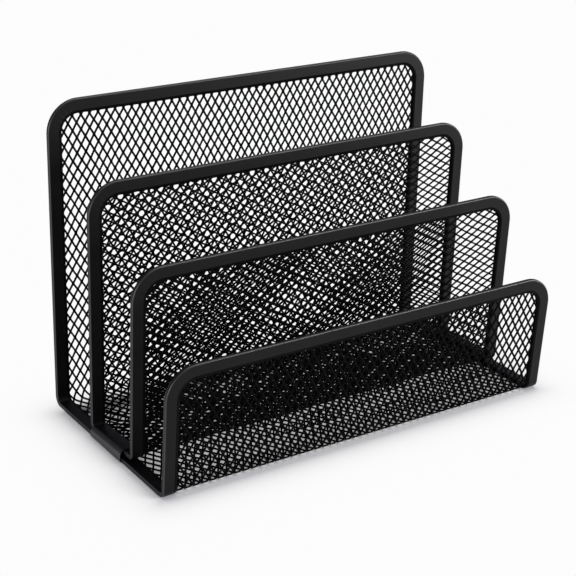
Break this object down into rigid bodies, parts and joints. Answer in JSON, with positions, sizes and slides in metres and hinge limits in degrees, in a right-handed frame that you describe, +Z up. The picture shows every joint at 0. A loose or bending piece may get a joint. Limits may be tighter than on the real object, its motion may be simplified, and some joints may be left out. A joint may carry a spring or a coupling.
{
  "type": "letter rack",
  "caption": "Stepped desktop letter rack of black powder-coated expanded steel mesh, with folded steel edge channels and open-ended slots for letters.",
  "frame": {"origin": "centre of the bounding box's underside, on the surface that the rack stands on", "axes": "+Z up; X across the rack, which is alike left and right; -Y towards the low front wall, +Y towards the high back wall"},
  "size_m": [0.1758, 0.0894, 0.1221],
  "materials": {
    "mesh_powder_coat": "satin black powder coat on expanded steel mesh",
    "channel_powder_coat": "satin black powder coat on folded steel strip",
    "clip_powder_coat": "satin black powder coat on folded steel sheet"
  },
  "bodies": {
    "root": {"outer_mesh_back_wall": "mesh_powder_coat", "outer_mesh_floor": "mesh_powder_coat", "outer_mesh_front_wall": "mesh_powder_coat", "divider_mesh_rear_wall": "mesh_powder_coat", "divider_mesh_floor": "mesh_powder_coat", "divider_mesh_front_wall": "mesh_powder_coat", "back_edge_channel": "channel_powder_coat", "front_edge_channel": "channel_powder_coat", "rear_divider_edge_channel": "channel_powder_coat", "front_divider_edge_channel": "channel_powder_coat", "left_rail_clip": "clip_powder_coat", "right_rail_clip": "clip_powder_coat"}
  },
  "joints": []
}
